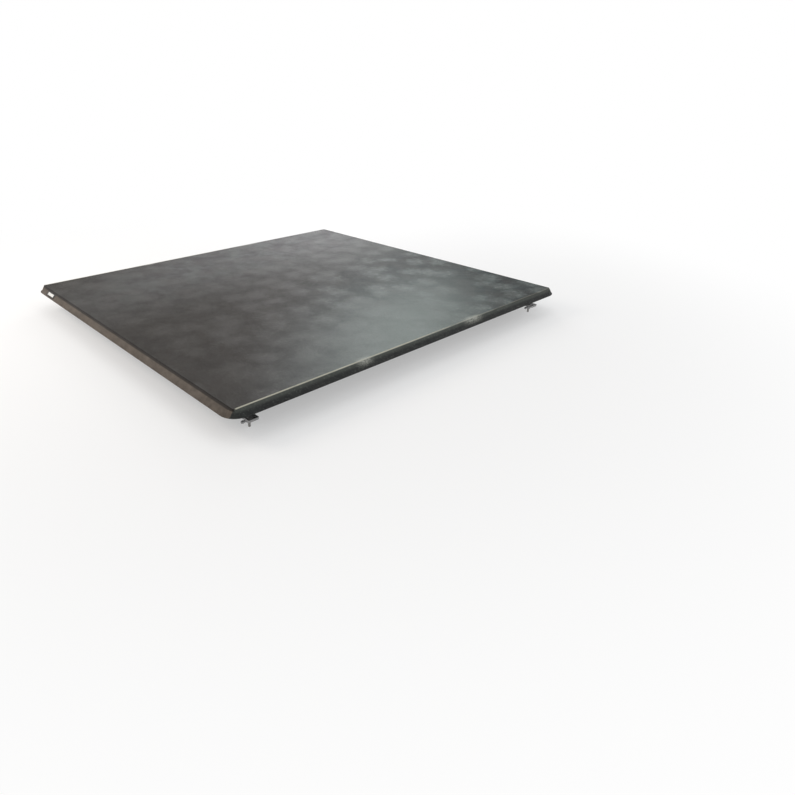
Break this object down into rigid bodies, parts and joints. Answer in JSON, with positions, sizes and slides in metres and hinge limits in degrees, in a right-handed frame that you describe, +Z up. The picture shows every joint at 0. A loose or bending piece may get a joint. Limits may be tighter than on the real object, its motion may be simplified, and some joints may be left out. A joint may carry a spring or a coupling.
{
  "type": "tonneau cover",
  "caption": "Soft tri-fold pickup bed cover: framed vinyl panels on double-hinged folds, with screw clamps for the bed rails.",
  "frame": {"origin": "middle of the bulkhead seal's underside, on the plane of the bed rails", "axes": "+X to the truck's right side, +Y forward to the cab, +Z up"},
  "size_m": [1.636, 1.736, 0.108],
  "materials": {
    "vinyl": "satin",
    "frame": "satin",
    "castings": "matte",
    "seal": "matte",
    "plastic": "matte",
    "webbing": "matte",
    "tag": "satin",
    "zinc": "satin",
    "cast_clamp": "satin"
  },
  "bodies": {
    "front_panel": {"front_side_rails": "frame", "front_fold_rails": "frame", "front_bow": "frame", "front_corner_brackets": "zinc", "front_rivets": "zinc", "front_vinyl": "vinyl", "front_vinyl_strips": "plastic", "front_seals": "seal", "front_hinge_leaves": "zinc", "front_hinge_pins": "zinc", "front_header_rail": "frame", "front_corner_castings": "castings", "front_clamp_brackets": "zinc", "front_clamp_pins": "zinc", "stay_straps": "webbing", "strap_buckles": "plastic"},
    "front_fold": {"fold_spine": "frame", "fold_end_blocks": "plastic", "fold_tangs": "zinc", "front_fold_vinyl": "vinyl"},
    "mid_panel": {"mid_side_rails": "frame", "mid_fold_rails": "frame", "mid_bow": "frame", "mid_corner_brackets": "zinc", "mid_rivets": "zinc", "mid_vinyl": "vinyl", "mid_vinyl_strips": "plastic", "mid_seals": "seal", "mid_hinge_leaves": "zinc", "mid_hinge_pins": "zinc"},
    "rear_fold": {"fold_link_bars": "zinc", "rear_fold_vinyl": "vinyl"},
    "rear_panel": {"rear_side_rails": "frame", "rear_fold_rails": "frame", "rear_bow": "frame", "rear_corner_brackets": "zinc", "rear_rivets": "zinc", "rear_vinyl": "vinyl", "rear_vinyl_strips": "plastic", "rear_seals": "seal", "rear_hinge_leaves": "zinc", "rear_hinge_pins": "zinc", "rear_header_rail": "frame", "rear_corner_castings": "castings", "rear_clamp_brackets": "zinc", "rear_clamp_pins": "zinc", "blank_tag": "tag"},
    "clamp_rod_front_left": {"clamp_rod_front_left": "zinc"},
    "clamp_jaw_front_left": {"clamp_jaw_front_left": "cast_clamp"},
    "clamp_handle_front_left": {"clamp_handle_front_left": "cast_clamp"},
    "clamp_rod_front_right": {"clamp_rod_front_right": "zinc"},
    "clamp_jaw_front_right": {"clamp_jaw_front_right": "cast_clamp"},
    "clamp_handle_front_right": {"clamp_handle_front_right": "cast_clamp"},
    "clamp_rod_rear_left": {"clamp_rod_rear_left": "zinc"},
    "clamp_jaw_rear_left": {"clamp_jaw_rear_left": "cast_clamp"},
    "clamp_handle_rear_left": {"clamp_handle_rear_left": "cast_clamp"},
    "clamp_rod_rear_right": {"clamp_rod_rear_right": "zinc"},
    "clamp_jaw_rear_right": {"clamp_jaw_rear_right": "cast_clamp"},
    "clamp_handle_rear_right": {"clamp_handle_rear_right": "cast_clamp"}
  },
  "joints": [
    {"name": "front_fold_hinge", "type": "hinge", "parent": "front_panel", "child": "front_fold", "pos_m": [0, -0.547, 0.024], "axis": [-1, 0, 0], "range_deg": [0, 90], "deforming": ["front_fold_vinyl"]},
    {"name": "front_fold_outer_hinge", "type": "hinge", "parent": "front_fold", "child": "mid_panel", "pos_m": [0, -0.609, 0.024], "axis": [-1, 0, 0], "range_deg": [0, 90]},
    {"name": "rear_fold_hinge", "type": "hinge", "parent": "mid_panel", "child": "rear_fold", "pos_m": [0, -1.165, 0.024], "axis": [-1, 0, 0], "range_deg": [0, 90], "deforming": ["rear_fold_vinyl"]},
    {"name": "rear_fold_outer_hinge", "type": "hinge", "parent": "rear_fold", "child": "rear_panel", "pos_m": [0, -1.179, 0.024], "axis": [-1, 0, 0], "range_deg": [0, 90]},
    {"name": "clamp_swing_front_left", "type": "hinge", "parent": "front_panel", "child": "clamp_rod_front_left", "pos_m": [-0.745, -0.09, 0.014], "axis": [0, -1, 0], "range_deg": [0, 90]},
    {"name": "clamp_travel_front_left", "type": "slide", "parent": "clamp_rod_front_left", "child": "clamp_jaw_front_left", "axis": [0, 0, -1], "range_m": [0, 0.012]},
    {"name": "clamp_screw_front_left", "type": "hinge", "parent": "clamp_jaw_front_left", "child": "clamp_handle_front_left", "pos_m": [-0.745, -0.09, -0.0533], "axis": [0, 0, -1], "range_deg": [0, 2160]},
    {"name": "clamp_swing_front_right", "type": "hinge", "parent": "front_panel", "child": "clamp_rod_front_right", "pos_m": [0.745, -0.09, 0.014], "axis": [0, 1, 0], "range_deg": [0, 90]},
    {"name": "clamp_travel_front_right", "type": "slide", "parent": "clamp_rod_front_right", "child": "clamp_jaw_front_right", "axis": [0, 0, -1], "range_m": [0, 0.012]},
    {"name": "clamp_screw_front_right", "type": "hinge", "parent": "clamp_jaw_front_right", "child": "clamp_handle_front_right", "pos_m": [0.745, -0.09, -0.0533], "axis": [0, 0, -1], "range_deg": [0, 2160]},
    {"name": "clamp_swing_rear_left", "type": "hinge", "parent": "rear_panel", "child": "clamp_rod_rear_left", "pos_m": [-0.745, -1.616, 0.014], "axis": [0, -1, 0], "range_deg": [0, 90]},
    {"name": "clamp_travel_rear_left", "type": "slide", "parent": "clamp_rod_rear_left", "child": "clamp_jaw_rear_left", "axis": [0, 0, -1], "range_m": [0, 0.012]},
    {"name": "clamp_screw_rear_left", "type": "hinge", "parent": "clamp_jaw_rear_left", "child": "clamp_handle_rear_left", "pos_m": [-0.745, -1.616, -0.0533], "axis": [0, 0, -1], "range_deg": [0, 2160]},
    {"name": "clamp_swing_rear_right", "type": "hinge", "parent": "rear_panel", "child": "clamp_rod_rear_right", "pos_m": [0.745, -1.616, 0.014], "axis": [0, 1, 0], "range_deg": [0, 90]},
    {"name": "clamp_travel_rear_right", "type": "slide", "parent": "clamp_rod_rear_right", "child": "clamp_jaw_rear_right", "axis": [0, 0, -1], "range_m": [0, 0.012]},
    {"name": "clamp_screw_rear_right", "type": "hinge", "parent": "clamp_jaw_rear_right", "child": "clamp_handle_rear_right", "pos_m": [0.745, -1.616, -0.0533], "axis": [0, 0, -1], "range_deg": [0, 2160]}
  ],
  "couplings": [
    {"joint": "front_fold_outer_hinge", "follows": "front_fold_hinge", "ratio": 1},
    {"joint": "rear_fold_outer_hinge", "follows": "rear_fold_hinge", "ratio": 1},
    {"joint": "clamp_screw_front_left", "follows": "clamp_travel_front_left", "rad_per_m": 3141.5},
    {"joint": "clamp_screw_front_right", "follows": "clamp_travel_front_right", "rad_per_m": 3141.5},
    {"joint": "clamp_screw_rear_left", "follows": "clamp_travel_rear_left", "rad_per_m": 3141.5},
    {"joint": "clamp_screw_rear_right", "follows": "clamp_travel_rear_right", "rad_per_m": 3141.5}
  ]
}
